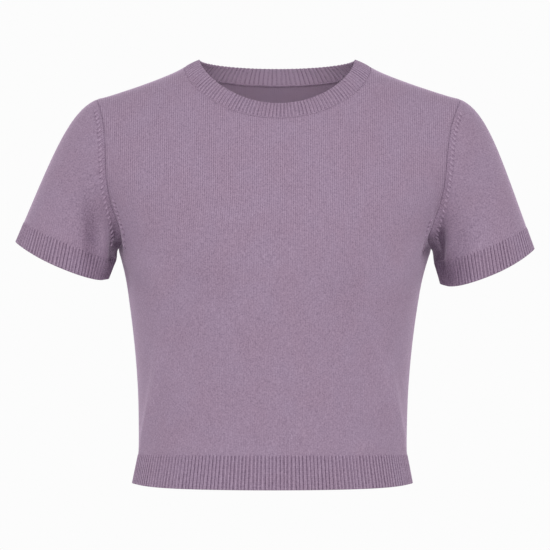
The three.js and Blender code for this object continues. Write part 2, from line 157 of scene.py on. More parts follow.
def yoke(x, z, face):
    """A point above the underarm: the ellipse's depth at x, times how far the cloth has rounded over
    the shoulder at this distance below it."""
    reach, power = SHOULDER_ROUNDING
    below = np.clip((shoulder_height(np.abs(x)) - z) / reach, 0, 1)
    rounding = (1 - (1 - below) ** power) ** (1 / power)
    across = np.clip(np.abs(x / torso_width(z)), 0, 1)
    depth = torso_depth[face](z) * (1 - across ** SECTION_POWER) ** (1 / SECTION_POWER) * rounding
    return np.stack(np.broadcast_arrays(x + lean(z), face * depth, z), -1)


def lengths(points, axis=0):
    """Length from the first point to each point along an axis of an array of points."""
    steps = np.linalg.norm(np.diff(points, axis=axis), axis=-1)
    zero = np.zeros_like(np.take(steps, [0], axis=axis))
    return np.concatenate([zero, np.cumsum(steps, axis=axis)], axis=axis)


def looped(values, axis=0):
    """An array with its first entry along an axis repeated at the end."""
    return np.concatenate([values, np.take(values, [0], axis)], axis)


print("front of the waist:", np.round(trunk(np.pi / 2, -335.0, -1), 1).tolist())

# %% [markdown]
# ## Panels
# Both panels have the same outline but for the neckline. A column runs from the hem seam up to the
# shoulder or neckline. Columns and rows lie closer where a seam will be pressed in.

# %% Outline of the panels
HEM_Z, UNDERARM_Z = -398.0, -163.0
HEM_BAND_SIDE, HEM_BAND_MIDDLE = 30, 34
SIDE_LIFT, SIDE_LIFT_WIDTH = 1.8, 0.5  # mm, radians
NECK_SEAM = {"half": 92.5, "side": 18.6, -1: -35, 1: 3.9, "roundness": 1.22}
NECK_EDGE = {"half": 77.5, "side": 26.2, -1: -20.3, 1: 20.6, "roundness": 1.35}
NECK_EDGE_DEPTH = {-1: 60, 1: 49.5}
NECK_COLUMNS, SHOULDER_COLUMNS = 9, 8  # each side of the middle
COLUMNS = 2 * (NECK_COLUMNS + SHOULDER_COLUMNS)
NECK_CROWDING = 1.35  # power that draws the columns together towards the shoulder


def neckline(angle, ring, face):
    """x and z of a neckline: across by the sine of the angle, and down by a power of its cosine."""
    drop = (ring["side"] - ring[face]) * np.clip(np.cos(angle), 0, 1) ** ring["roundness"]
    return ring["half"] * np.sin(angle), ring["side"] - drop


def column_tops(column, face):
    """Where columns end: on the neckline, closer together towards the shoulder, or on the shoulder."""
    offset = column - COLUMNS / 2
    side = np.sign(offset)
    inside = np.clip(1 - np.abs(offset) / NECK_COLUMNS, 0, 1)
    neck_x, neck_z = neckline((1 - inside ** NECK_CROWDING) * np.pi / 2, NECK_SEAM, face)
    out = (np.abs(offset) - NECK_COLUMNS) / SHOULDER_COLUMNS
    shoulder_x = NECK_SEAM["half"] + (SHOULDER[-1, 0] - NECK_SEAM["half"]) * out
    on_neck = out <= 1e-9
    x = np.where(on_neck, neck_x, shoulder_x)
    return side * x, np.where(on_neck, neck_z, shoulder_height(x)), on_neck, out


def even_angles(count, face):
    """Angles that part the hem's edge into equal lengths."""
    fine = np.linspace(0, np.pi, 2001)
    run = lengths(trunk(fine, HEM_Z, face))
    return np.interp(np.linspace(0, run[-1], count), run, fine)


def hem_seam(angle):
    """Height of the seam between panel and hem band, a little higher at the middle than at the sides."""
    return HEM_Z + HEM_BAND_SIDE + (HEM_BAND_MIDDLE - HEM_BAND_SIDE) * np.sin(angle)


def hem_edge(angle):
    """Height of the hem's free edge: level, and drawn up a little round the side seams."""
    return HEM_Z + SIDE_LIFT * np.exp(-((np.minimum(angle, np.pi - angle) / SIDE_LIFT_WIDTH) ** 2))


# %% A panel as a grid
# Five points to a column, but twenty near both sides. Rows lie closest at the hem's seam.
EDGE = np.arange(0, 0.6, 0.05)
PANEL_COLUMNS = np.concatenate([EDGE, np.arange(3, COLUMNS * 5 - 2) / 5, COLUMNS - EDGE[::-1]])
UP_TO_UNDERARM = np.concatenate([[0, 0.0008, 0.006], np.arange(1, 54) / 54])
ROWS_BELOW, ROWS_ABOVE = len(UP_TO_UNDERARM), 72


def panel(face):
    """Rows of points from hem seam to shoulder. Below the underarm, angle and height go evenly from the
    seam to the underarm line. Above, each column goes from its share of the width there to its top."""
    column = PANEL_COLUMNS
    hem_angle = np.interp(column, np.arange(COLUMNS + 1), even_angles(COLUMNS + 1, face))
    top_x, top_z, on_neck, out = column_tops(column, face)
    half = armhole_width(UNDERARM_Z)
    start = np.arccos((NECK_SEAM["half"] / half) ** (SECTION_POWER / 2))
    spread = np.sign(top_x) * np.cos(start * (1 - np.clip(out, 0, 1))) ** (2 / SECTION_POWER)
    share = np.where(on_neck, top_x / half, spread)
    cosine = np.sign(share) * np.abs(share) ** (SECTION_POWER / 2)
    arm_angle = np.arccos(np.clip(-cosine, -1, 1))
    up = UP_TO_UNDERARM[:, None]
    below = trunk(hem_angle + (arm_angle - hem_angle) * up,
                  hem_seam(hem_angle) + (UNDERARM_Z - hem_seam(hem_angle)) * up, face)
    up = ((1 - np.cos(np.linspace(0, np.pi, ROWS_ABOVE + 1))) / 2)[:, None]
    z = UNDERARM_Z + (top_z - UNDERARM_Z) * up
    x = (share + (top_x / armhole_width(top_z) - share) * up) * armhole_width(z)
    return np.concatenate([below, yoke(x, z, face)])


panels = {face: panel(face) for face in (-1, 1)}
NECK_PART = slice(*np.searchsorted(
    PANEL_COLUMNS, (COLUMNS / 2 - NECK_COLUMNS - 1e-6, COLUMNS / 2 + NECK_COLUMNS + 1e-6)))
print("points on a panel:", panels[-1].shape)

# %% [markdown]
# ## Sleeves
# A set-in sleeve leaves the armhole nearly level at the shoulder and hangs down the arm from there. Each
# line of the sleeve is a curve with two handles: one that leaves the armhole, and one that enters the
# cuff along the arm. The grid starts at the underarm, where the sleeve is sewn up.

# %% Sleeve surfaces
# The rings of a cuff: the points furthest from and nearest to the body (x, z), the half-depth, and the
# drop and shift of the front and of the back.
SLEEVES = {
    "left": {
        "side": -1,
        "seam": ((-251.5, -136), (-159.5, -173), 48, (5.5, 5), (5.5, 5)),
        "edge": ((-260, -156), (-167.5, -192), 47, (11, 8), (4.8, 5.4)),
    },
    "right": {
        "side": 1,
        "seam": ((250, -141), (158, -176), 48, (6.5, 5), (6.5, 5)),
        "edge": ((258, -163), (164.5, -197), 47, (13, 8), (7.3, 5.3)),
    },
}
# Handles on top of the sleeve and under it: how far the first points outward and along the arm, and both
# lengths as shares of the way.
SLEEVE_TOP = {"outward": 0.76, "along": 0.41, "leave": 0.2, "enter": 0.545}
SLEEVE_UNDER = {"outward": 0.25, "along": 0.9, "leave": 0.33, "enter": 0.33}
SLEEVE_FULLNESS = 0.12
CUFF_SQUARENESS, CUFF_DIP = 0.22, 0.8  # changes of a power
# shares of the way down, closest at both seams
DOWN_SLEEVE = np.concatenate([[0, 0.004, 0.01, 0.018], np.linspace(0.03, 0.992, 75), [0.9985, 1]])


def unit(vectors):
    """Vectors of length one in the same directions."""
    return vectors / np.maximum(np.linalg.norm(vectors, axis=-1, keepdims=True), 1e-9)


def cuff_ring(outer, inner, half_depth, front, back, side, turn):
    """A ring round the sleeve: the centre, plus half the way across by the cosine of the turn, plus the
    way to the front by its sine. Towards the outer point, at a turn of 0, both are raised to a power
    below 1, which squares the ring a little. The drop and shift have the sine to a power above 1 there,
    so that the ring starts level and its corner looks sharp. Half of pi is the front."""
    outer, inner = (np.array([x, 0, z], float) for x, z in (outer, inner))
    in_front = (np.sin(turn) > 0)[:, None]
    drop_shift = np.where(in_front, front, back)
    outward = (1 + np.cos(turn)) / 2
    cosine, sine, dip = (np.sign(value) * np.abs(value) ** (1 + change * outward) for value, change in (
        (np.cos(turn), -CUFF_SQUARENESS), (np.sin(turn), -CUFF_SQUARENESS), (np.sin(turn), CUFF_DIP)))
    to_front = np.stack([-side * drop_shift[:, 1] * dip, -half_depth * sine, -drop_shift[:, 0] * dip], -1)
    return (outer + inner) / 2 + (outer - inner) / 2 * cosine[:, None] + to_front


def sleeve(side, seam, edge):
    """Curves with two handles from each point of the armhole to the same turn of the cuff's seam."""
    column = 0 if side < 0 else -1
    front, back = (panels[face][ROWS_BELOW:, column] for face in (-1, 1))
    start = np.concatenate([back, front[-2:0:-1]])
    back_run, front_run = lengths(back), lengths(front[::-1])
    turn = np.pi * np.concatenate([1 + back_run / back_run[-1], 2 + front_run[1:-1] / front_run[-1]])
    end = cuff_ring(*seam, side, turn)
    arm = unit(np.array([edge[0][0] - seam[0][0], 0, edge[0][1] - seam[0][1]], float))
    at_top = (1 + np.cos(turn)) / 2
    at = {name: under + (SLEEVE_TOP[name] - under) * at_top for name, under in SLEEVE_UNDER.items()}
    leave = np.stack([side * at["outward"], -SLEEVE_FULLNESS * np.sin(turn), np.zeros_like(turn)], -1)
    leave = unit(leave + arm * at["along"][:, None])
    reach = np.linalg.norm(end - start, axis=-1)[:, None]
    first = start + leave * reach * at["leave"][:, None]
    second = end - arm * reach * at["enter"][:, None]
    t = DOWN_SLEEVE[:, None, None]
    leaving = start * (1 - t) ** 3 + 3 * first * t * (1 - t) ** 2
    return leaving + 3 * second * t ** 2 * (1 - t) + end * t ** 3


sleeves = {name: sleeve(**measures) for name, measures in SLEEVES.items()}
print("points on a sleeve:", sleeves["left"].shape)

# %% [markdown]
# ## Cloth as a closed sheet
# Cloth has two faces and an edge. Each piece is one grid that runs up the outer face, over the edge
# and down the inner face, so the mesh is closed. A piece that goes all the way round, such as a cuff, is
# closed that way too. Every piece carries its own map in millimetres of cloth, which the knit pattern
# follows, values of painted light and shade, which follow the relief of ribs, folds and seams, and how
# clearly wales show there.

# %% Normals and meshes
def normals_of(grid, closed, outward):
    """Unit normals: the cross product of the differences across and up the grid, times 1 or -1."""
    up = np.gradient(grid, axis=0)
    across = np.roll(grid, -1, 1) - np.roll(grid, 1, 1) if closed else np.gradient(grid, axis=1)
    return unit(np.cross(across, up) * outward)


def add_mesh(name, points, faces, uv, painted_light, clear):
    """A smooth mesh from points in mm, faces of four corners, a map value for each corner, and for each
    point its painted light and shade and how clearly its wales show. A negative volume turns the faces
    round."""
    points = points.reshape(-1, 3) * MM
    a, b, c, d = (points[faces[:, i]] for i in range(4))
    volume = (np.einsum("ij,ij", a, np.cross(b, c)) + np.einsum("ij,ij", a, np.cross(c, d))) / 6
    if volume < 0:
        faces, uv = faces[:, ::-1], uv[:, ::-1]
    mesh = bpy.data.meshes.new(name)
    mesh.vertices.add(len(points))
    mesh.vertices.foreach_set("co", points.ravel())
    mesh.loops.add(faces.size)
    mesh.loops.foreach_set("vertex_index", faces.ravel().astype(np.int32))
    mesh.polygons.add(len(faces))
    mesh.polygons.foreach_set("loop_start", np.arange(0, faces.size, 4, dtype=np.int32))
    mesh.polygons.foreach_set("use_smooth", np.ones(len(faces), bool))
    mesh.update(calc_edges=True)
    mesh.uv_layers.new(name="cloth").data.foreach_set("uv", uv.reshape(-1).astype(np.float32))
    for attribute, values in (("painted_light", painted_light), ("clear", clear)):
        layer = mesh.attributes.new(attribute, "FLOAT", "POINT")
        layer.data.foreach_set("value", values.ravel().astype(np.float32))
    print(f"{name}: {2 * len(faces)} triangles, {abs(volume) * 1e6:.0f} cm3")
    return put(name, mesh)


def cloth(name, loop, uv, painted_light, clear, closed):
    """A closed sheet from a grid whose rows run up one face and down the other, the last row joining the
    first. An open grid gets its two side edges closed by strips between the faces."""
    rows, columns = loop.shape[:2]
    across = np.arange(columns if closed else columns - 1)
    r, c = np.broadcast_arrays(np.arange(rows)[:, None], across)
    r2, c2 = (r + 1) % rows, (c + 1) % columns
    faces = np.stack([r * columns + c, r * columns + c2, r2 * columns + c2, r2 * columns + c], -1)
    faces = faces.reshape(-1, 4)
    corner = np.stack([uv[r, c], uv[r, c + 1], uv[r2, c + 1], uv[r2, c]], 2).reshape(-1, 4, 2)
    if not closed:
        i = np.arange(rows // 2 - 1)
        j = rows - 1 - i
        for column, order in ((0, 1), (columns - 1, -1)):
            strip = np.stack([i, i + 1, j - 1, j], -1)[:, ::order]
            faces = np.concatenate([faces, strip * columns + column])
            corner = np.concatenate([corner, uv[strip, column]])
    return add_mesh(name, loop, faces, corner, painted_light, clear)


# %% [markdown]
# ## Seams pressed into the cloth
# Where two knitted pieces are joined, both dip into the seam, and the allowance behind it can lift a
# soft ridge beside it. Modelling that as a groove in both surfaces keeps a real shadow in it from any side.
# A groove is a depth that fades with the distance from the seam line. Along a seam both pieces move the
# same way, halfway between their normals, so they still meet there.

# %% Grooves and shared normals
PIECES_AT_ONCE = 24  # keeps the arrays small
RIDGE_PLACE, RIDGE_WIDTH = 3, 1.6  # mm beside the seam


def distance_to(points, line):
    """Distance of every point from a line of points: the least over its straight pieces."""
    flat = points.reshape(-1, 3)
    best = np.full(len(flat), 1e9)
    starts, steps = line[:-1], np.diff(line, axis=0)
    for part in np.array_split(np.arange(len(starts)), max(len(starts) // PIECES_AT_ONCE, 1)):
        start, step = starts[part], steps[part]
        offset = flat[:, None] - start
        along = np.einsum("pij,ij->pi", offset, step) / np.maximum((step ** 2).sum(-1), 1e-12)
        offset -= np.clip(along, 0, 1)[..., None] * step
        best = np.minimum(best, np.sqrt((offset ** 2).sum(-1).min(1)))
    return best.reshape(points.shape[:-1])


def nearest(points, line):
    """For every point, the number of the nearest point of a line."""
    flat = points.reshape(-1, 3)
    apart = (flat ** 2).sum(-1)[:, None] + (line ** 2).sum(-1) - 2 * flat @ line.T
    return apart.argmin(1).reshape(points.shape[:-1])


def seam_ways(line, *edges):
    """One direction for each point of a seam line: the mean of the normals of the edges that meet."""
    return unit(sum(normals[nearest(line, points)] for points, normals in edges))


def shared(points, normals, seams, reach=2.5):
    """Normals that turn into a seam's own directions as the points come near it."""
    for line, ways in seams:
        weight = np.exp(-distance_to(points, line) / reach)[..., None]
        normals = unit(normals * (1 - weight) + ways[nearest(points, line)] * weight)
    return normals


def groove(distance, depth, width, lift=0.0):
    """How far a seam moves the cloth: in by the depth, fading with distance, and out again by the lift in
    a ridge beside it."""
    ridge_beside = np.exp(-(((distance - RIDGE_PLACE) / RIDGE_WIDTH) ** 2))
    return lift * ridge_beside - depth * np.exp(-distance / width)


# %% [markdown]
# ## Soft folds
# A fitted knit has few folds: deep ones in the armpits, where sleeve and body press together, some from
# there towards the chest, and slack ones above the waist. They are placed from a table, uneven
# in length and depth. The front follows what shows, and the back, which doesn't show, gets similar
# ones. The table is read for every piece alike, so a fold runs on across a seam.

# %% Folds
# face (-1 in front), x and z of both ends, half-width, height, place of that height along it
FOLDS = [
    # armpits: valleys and ridges of the sleeves, and creases that run into the body
    (-1, -164, -118, -159.5, -174, 4.6, -6.2, 0.74), (-1, -174, -128, -170, -176, 6, 1.4, 0.55),
    (-1, -188, -104, -183, -178, 9, -3.6, 0.6), (-1, -152, -166, -172, -212, 20, -3.2, 0.55),
    (-1, 163, -120, 158, -178, 4.8, -8.5, 0.75), (-1, 178, -124, 172, -184, 13, -1.5, 0.6),
    (-1, 150, -170, 170, -216, 20, -3.6, 0.55), (-1, -155, -163, -143, -171, 3, -1.2, 0.25),
    (-1, 153, -165, 139, -172, 3, -1.8, 0.25), (-1, -151, -130, -149, -166, 6, -0.8, 0.7),
    (-1, 153, -134, 149, -168, 6, -4.2, 0.75), (-1, -160, -170, -166, -200, 8, -1.8, 0.5),
    (-1, 158, -174, 163, -204, 8, -1.2, 0.5),
    (1, -160, -118, -164, -172, 6.5, -6, 0.8), (1, -176, -128, -172, -180, 7, 2.2, 0.65),
    (1, -188, -118, -183, -176, 8, -2.4, 0.6), (1, 162, -120, 158, -176, 6.5, -6, 0.8),
    (1, 177, -132, 173, -182, 7.5, 2.4, 0.65), (1, 190, -116, 186, -176, 8, -2.2, 0.6),
    (1, -154, -162, -138, -174, 3.5, -1.6, 0.35), (1, 153, -162, 136, -175, 3.5, -1.6, 0.35),
    # from the armpits towards the chest
    (-1, -140, -172, -98, -206, 11, 1.2, 0.35), (-1, 142, -160, 102, -202, 12, 1.5, 0.3),
    (-1, -88, -190, -40, -214, 18, -0.5, 0.45), (-1, 84, -188, 38, -212, 18, -0.5, 0.45),
    (1, -134, -186, -84, -222, 11, 0.9, 0.4), (1, 132, -188, 88, -220, 11, 0.8, 0.4),
    # above the waist
    (-1, -114, -250, -137, -374, 6, 1.3, 0.4), (-1, 98, -245, 128, -380, 6, 1.3, 0.4),
    (1, -110, -254, -134, -372, 7, 1.2, 0.45), (1, 104, -250, 131, -376, 7, 1.2, 0.4),
    (-1, -124, -262, -70, -330, 16, 0.8, 0.45), (-1, 120, -270, 66, -336, 15, 0.7, 0.45),
    (-1, -112, -352, -60, -364, 8, 0.5, 0.45), (-1, 108, -348, 52, -362, 8, 0.5, 0.45),
    (1, -110, -300, -30, -330, 13, 0.9, 0.45), (1, 104, -306, 34, -338, 14, 0.8, 0.45),
    (1, -84, -338, 10, -352, 9, 0.7, 0.45), (1, 20, -330, 92, -352, 9, 0.6, 0.45),
    (1, -30, -20, -14, -70, 16, 0.6, 0.45), (1, 34, -22, 16, -74, 16, 0.6, 0.45),
]
FORM_FADE, SHADE_FADE = 22, 4  # mm from the side, within which folds of front and back fade out
FOLD_BEND, FOLD_SWELL = 0.4, 0.42  # shares of its width and of its length
DEEP, DEEP_LOSS, RIDGE_HIGHLIGHT = 6, 0.75, 0.06  # mm, share of painted shade there, painted highlight for each mm of ridge


def folds(points, fade=FORM_FADE):
    """The sum of the soft folds: each is a bell across its bent line, and its height swells and fades
    along the line. It acts on its own face, and fades smoothly towards the side."""
    moved = np.zeros(points.shape[:-1])
    for face, x0, z0, x1, z1, width, height, peak in FOLDS:
        step = np.array([x1 - x0, z1 - z0], float)
        offset = points[..., (0, 2)] - (x0, z0)
        along = offset @ step / (step @ step)
        across = offset @ np.array([-step[1], step[0]]) / np.linalg.norm(step)
        bend = width * FOLD_BEND * np.sin(np.pi * np.clip(along, 0, 1))
        from_side = np.clip(face * points[..., 1] / fade, 0, 1)
        swell = np.exp(-(((along - peak) / FOLD_SWELL) ** 2)) * from_side ** 2 * (3 - 2 * from_side)
        moved += height * swell * np.exp(-(((across - bend) / width) ** 2))
    return moved


def hollow_shade(points):
    """How much painted light a fold leaves in the colour: 1 on the flat, less the deeper the valley, as
    painted shade, and a little more on a ridge, as a painted highlight."""
    moved = folds(points, SHADE_FADE)
    return 1 - DEEP_LOSS * np.clip(-moved / DEEP, 0, 1) + RIDGE_HIGHLIGHT * np.clip(moved, 0, 2)


# %% [markdown]
# ## Rings of the bands
# The ribs of a cuff are evenly spaced, so its points are placed at equal lengths along its middle, and
# not at equal angles. The neckband is stretched more behind, so its ribs stand further apart there.

# %% Neckline and cuff rings
RIB_POINTS = 8
HEM_RIBS, NECK_RIBS, CUFF_RIBS = 97, 128, 90
NECK_PITCH = (3.5, 4.4)  # mm in front and behind
PITCH_CHANGE = (-30, 30)  # y in mm, between which the pitch goes from the one to the other
NECK_EDGE_POWER = 0.8


def even(rings, count, pitch=(1, 1)):
    """Points of closed rings, placed along the ring midway between them: at equal lengths, or further apart
    behind than in front if the pitch is."""
    middle = sum(rings) / len(rings)
    closed = looped(middle)
    steps = np.diff(lengths(closed)) / np.interp(closed[1:, 1], PITCH_CHANGE, pitch)
    run = np.concatenate([[0], np.cumsum(steps)])
    at = np.arange(count) / count * run[-1]
    return [np.stack([np.interp(at, run, np.append(ring[:, k], ring[0, k])) for k in range(3)], -1)
            for ring in rings]


def neck_rings():
    """The neckline seam and the neck's free edge, from the left shoulder round the front and back."""
    angle = np.linspace(-np.pi / 2, np.pi / 2, 1501)
    seam, edge = [], []
    for face, order in ((-1, angle), (1, angle[-2:0:-1])):
        x, z = neckline(order, NECK_SEAM, face)
        seam.append(yoke(x, z, face))
        x, z = neckline(order, NECK_EDGE, face)
        y = face * NECK_EDGE_DEPTH[face] * np.clip(np.cos(order), 0, 1) ** NECK_EDGE_POWER
        edge.append(np.stack([x + lean(z), y, z], -1))
    return even([np.concatenate(seam), np.concatenate(edge)], NECK_RIBS * RIB_POINTS, NECK_PITCH)


def cuff_rings(side, seam, edge):
    """The seam and the free edge of a cuff, starting at the underarm."""
    turn = np.linspace(np.pi, 3 * np.pi, 3001)[:-1]
    return even([cuff_ring(*ring, side, turn) for ring in (seam, edge)], CUFF_RIBS * RIB_POINTS)


neck_seam, neck_edge = neck_rings()
cuffs = {name: cuff_rings(**measures) for name, measures in SLEEVES.items()}
print("neck opening round its edge:", round(float(lengths(neck_edge)[-1])), "mm")

# %% [markdown]
# ## The two panels and the sleeves
# These stay plain in the mesh, apart from folds and seams, because a wale of this knit is narrower than
# two millimetres. Its stitches belong to the finish.

# %% Plain pieces
WALL = 1.6
NECK_CROWN = 0.5
BAND_ROWS = 20
INNER_PAINTED_LIGHT = 1.75  # painted light: the inner faces are painted paler than the outer, standing in for light through the thin knit
SEAM_INSIDE = 0.5  # share of a groove that the inner face follows
# mm: depth of a groove, width of its fading, and lift of the ridge, left out on a sleeve's armhole side
ARM_GROOVE, NECK_GROOVE, SIDE_GROOVE = (0.5, 0.5, 0.15), (0.2, 0.6), (0.35, 0.8, 0.1)
ARM_SHADE, NECK_SHADE = (0.45, 0.4), (0.1, 0.5)  # painted shade that darkens a seam: a groove in the painted light, its depth and the mm over which it fades
INNER_SHADE, INNER_PLACE, INNER_WIDTH = 0.25, 1.2, 1.1  # a dark line inside the neck, place in mm
CLEAR_BELOW, CLEAR_SLEEVE, ARMPIT_BLUR = 0.15, 0.5, 0.7
UPRIGHT_OVER, UPRIGHT_CLOTH = 60, 1.05  # mm above the underarm, cloth for each mm of x there


def band_base(seam, edge, crown):
    """The middle surface of a band: straight from seam to free edge, lifted outwards and upwards in an
    arch of the crown's height."""
    up = np.concatenate([[0, 0.006], np.linspace(0.05, 1, BAND_ROWS - 2)])[:, None, None]
    level = unit((seam + edge) / 2 * (1, 1, 0))
    return seam + (edge - seam) * up + unit(level + (0, 0, 1)) * crown * 4 * up * (1 - up)


def plain_piece(name, grid, normal, seam, painted_light, inside, clear, uv, closed):
    """The outer grid moved along its normals by folds and seams, and the same grid a wall's thickness
    further in, which follows only a share of each seam, joined into one closed sheet. The values before
    inside are the painted light and shade of the outer face, darkened by the folds' painted shade, and
    inside those of the inner face, which is painted lighter, and the name is the node's."""
    fold = folds(grid)
    outer = grid + normal * (fold + seam)[..., None]
    inner = grid + normal * (fold + seam * SEAM_INSIDE - WALL)[..., None]
    surfaces[name] = (outer, normal)
    pieces[name] = cloth(
        f"{name}_knit", np.concatenate([outer, inner[::-1]]), np.concatenate([uv, uv[::-1]]),
        np.concatenate([painted_light * hollow_shade(grid), inside[::-1] * INNER_PAINTED_LIGHT]),
        np.tile(clear, (2, 1)), closed)


raw_normals = {face: normals_of(panels[face], False, -face) for face in (-1, 1)}
sleeve_normals = {name: normals_of(grid, True, SLEEVES[name]["side"]) for name, grid in sleeves.items()}
neck_normals = normals_of(band_base(neck_seam, neck_edge, NECK_CROWN), True, 1)
arm_seams = {}
for name, grid in sleeves.items():
    column = 0 if SLEEVES[name]["side"] < 0 else -1
    line = looped(grid[0])
    edges = [(grid[0], sleeve_normals[name][0])]
    for face in (-1, 1):
        edges.append((panels[face][ROWS_BELOW:, column], raw_normals[face][ROWS_BELOW:, column]))
    arm_seams[name] = (line, seam_ways(line, *edges))
neck_line = looped(neck_seam)
neck_way = seam_ways(neck_line, (neck_seam, neck_normals[0]),
                     *[(panels[face][-1, NECK_PART], raw_normals[face][-1, NECK_PART]) for face in (-1, 1)])

pieces, surfaces = {}, {}


def wale_map(grid):
    """Distance of each point from the middle wale, in mm of cloth: along the level cross-section up to
    the underarm, and above it more and more by x alone, so that the wales stay upright."""
    across = lengths(grid * (1, 1, 0), 1)
    across -= across[:, across.shape[1] // 2][:, None]
    x = grid[..., 0]
    upright = np.interp(x, x[ROWS_BELOW], across[ROWS_BELOW])
    rise = np.clip((grid[..., 2] - UNDERARM_Z) / UPRIGHT_OVER, 0, 1)
    above = upright + (x * UPRIGHT_CLOTH - upright) * rise ** 2 * (3 - 2 * rise)
    return np.where(np.arange(len(grid))[:, None] < ROWS_BELOW, across, above)


def wale_clearness(grid):
    """How clearly a panel's wales show: little below the chest, fully above it, and less towards the
    armpits."""
    x, z = np.abs(grid[..., 0]), grid[..., 2]
    clear = CLEAR_BELOW + (1 - CLEAR_BELOW) * np.clip((z + 200) / 110, 0, 1)
    return clear * (1 - ARMPIT_BLUR * np.clip((x - 110) / 30, 0, 1) * np.clip((-105 - z) / 40, 0, 1))


for face, side_name in ((-1, "front"), (1, "back")):
    grid = panels[face]
    normal = shared(grid, raw_normals[face], [*arm_seams.values(), (neck_line, neck_way)])
    to_arm = np.minimum(*[distance_to(grid, line) for line, _ in arm_seams.values()])
    to_neck = distance_to(grid, neck_line)
    seam = groove(to_arm, *ARM_GROOVE) + groove(to_neck, *NECK_GROOVE)
    for line in (grid[: ROWS_BELOW + 1, 0], grid[: ROWS_BELOW + 1, -1],
                 grid[-1, : NECK_PART.start + 1], grid[-1, NECK_PART.stop - 1:]):
        seam += groove(distance_to(grid, line), *SIDE_GROOVE)
    # painted shade along the armhole and neck seams, and inside the neck a dark line of painted shade
    painted_light = 1 + groove(to_arm, *ARM_SHADE) + groove(to_neck, *NECK_SHADE)
    inside = 1 - INNER_SHADE * np.exp(-(((to_neck - INNER_PLACE) / INNER_WIDTH) ** 2))
    uv = np.stack([wale_map(grid), lengths(grid)], -1)
    plain_piece(f"{side_name}_panel", grid, normal, seam, np.clip(painted_light, 0, 1), inside,
                wale_clearness(grid), uv, False)

for name, grid in sleeves.items():
    sleeve_normals[name] = shared(grid, sleeve_normals[name], [arm_seams[name]])
    to_arm = distance_to(grid, arm_seams[name][0])
    seam = groove(to_arm, *ARM_GROOVE[:2]) + groove(distance_to(grid, grid[:, 0]), *SIDE_GROOVE)
    # painted shade along the armhole seam
    painted_light = 1 + groove(to_arm, *ARM_SHADE)
    uv = np.stack([lengths(looped(grid, 1), 1), looped(lengths(grid), 1)], -1)
    plain_piece(f"sleeve_{name}", grid, sleeve_normals[name], seam, painted_light, np.ones_like(painted_light),
                np.full_like(painted_light, CLEAR_SLEEVE), uv, True)

# %% [markdown]
# ## Ribs
# In a one-by-one rib, a row of stitches that stands forward lies beside one that stands back, and on the
# other face they change places. So a band is a corrugated sheet: each face has wide round ridges with
# narrow valleys between, and the ridges of one face lie behind the valleys of the other. The ribs are
# real relief, eight points to a rib, because they show from a step away and scallop the edge.

# %% Ribbed bands
RIB_HEIGHT = 0.9
RIB_SUNK = 0.5  # share of a rib's height by which valleys lie below the panel beside them
BAND_WALL = 1.0
RIB_ROUNDNESS = 0.7
CREST = 1.1  # painted light on a rib's crest, a little above that of the plain knit
# share of painted shade in the valleys between the ribs, on hem and cuffs and on the neckband
RIB_VALLEY_SHADE, NECK_RIB_VALLEY_SHADE = 0.88, 0.62
EDGE_ROWS, EDGE_CLOTH = 6, 2.8  # rows round the free edge, and mm of cloth that it takes


def ridge(phase):
    """Height of a rib at a phase of its pitch: 1 on the crest, falling to 0 in a narrow valley."""
    return np.abs(np.cos(np.pi * phase)) ** RIB_ROUNDNESS


def band(name, seam, edge, crown, outward, closed, pitch, depth=RIB_VALLEY_SHADE):
    """A ribbed band from its seam line to its free edge. The outer face is raised on each rib's crest and
    the inner face between the ribs, both less at the seam, and a half circle joins the two faces. depth
    is how much of the light is lost in the valleys between the ribs, as painted shade, and the outer face
    also takes the painted shade of the folds."""
    radius = (RIB_HEIGHT + BAND_WALL) / 2
    edge = edge - unit(edge - seam) * radius
    base = band_base(seam, edge, crown)
    normal = normals_of(base, closed, outward)
    shade = hollow_shade(base)
    base = base + normal * folds(base)[..., None]
    along = unit(edge - seam)
    run = lengths(base)
    place = np.arange(seam.shape[0]) / RIB_POINTS
    # two waves of unlike length make the ribs uneven, more so towards the free edge
    sway = 0.08 * np.sin(place * 1.7) + 0.06 * np.sin(place * 0.61 + 1.3)
    phase = place + sway * (0.3 + run / run.max())
    # a quarter of the height at the seam, and all of it 2 mm further on
    start = 0.25 + 0.75 * np.clip(run / 2, 0, 1) ** 0.7
    rise = RIB_HEIGHT * (ridge(phase) - RIB_SUNK) * start
    sink = BAND_WALL + RIB_HEIGHT * (RIB_SUNK + (ridge(phase + 0.5) - RIB_SUNK) * start)
    turn = np.linspace(0, np.pi, EDGE_ROWS + 2)[1:-1, None, None]
    centre = base[-1] + normal[-1] * ((rise - sink)[-1] / 2)[:, None]
    round_edge = centre + radius * (normal[-1] * np.cos(turn) + along * np.sin(turn))
    outer, inner = base + normal * rise[..., None], base - normal * sink[..., None]
    loop = np.concatenate([outer, round_edge, inner[::-1]])
    print("rib pitch:", round(float(pitch), 2), "mm")
    # painted shade in the valleys between the ribs, less at the seam, the folds' painted shade on the outer
    # face, and painted light on the inner face
    depth = depth * np.clip(0.3 + run / 1.2, 0, 1)
    outside, inside = (CREST - depth + depth * ridge(phase + half) for half in (0, 0.5))
    outside *= shade
    rim = outside[-1] + (inside[-1] - outside[-1]) * turn[..., 0] / np.pi
    painted_light = np.concatenate([outside, rim, inside[::-1] * INNER_PAINTED_LIGHT])
    over = run[-1] + np.linspace(0.4, 2.4, EDGE_ROWS)[:, None]
    length = np.concatenate([run, over, 2 * run[-1] + EDGE_CLOTH - run[::-1]])
    width = np.broadcast_to(place * pitch, length.shape)
    if closed:
        length = looped(length, 1)
        width = np.concatenate([width, np.full((len(width), 1), place[-1] * pitch + pitch / RIB_POINTS)], 1)
    pieces[name] = cloth(
        f"{name}_knit", loop, np.stack([width, length], -1), painted_light, np.ones_like(painted_light), closed)


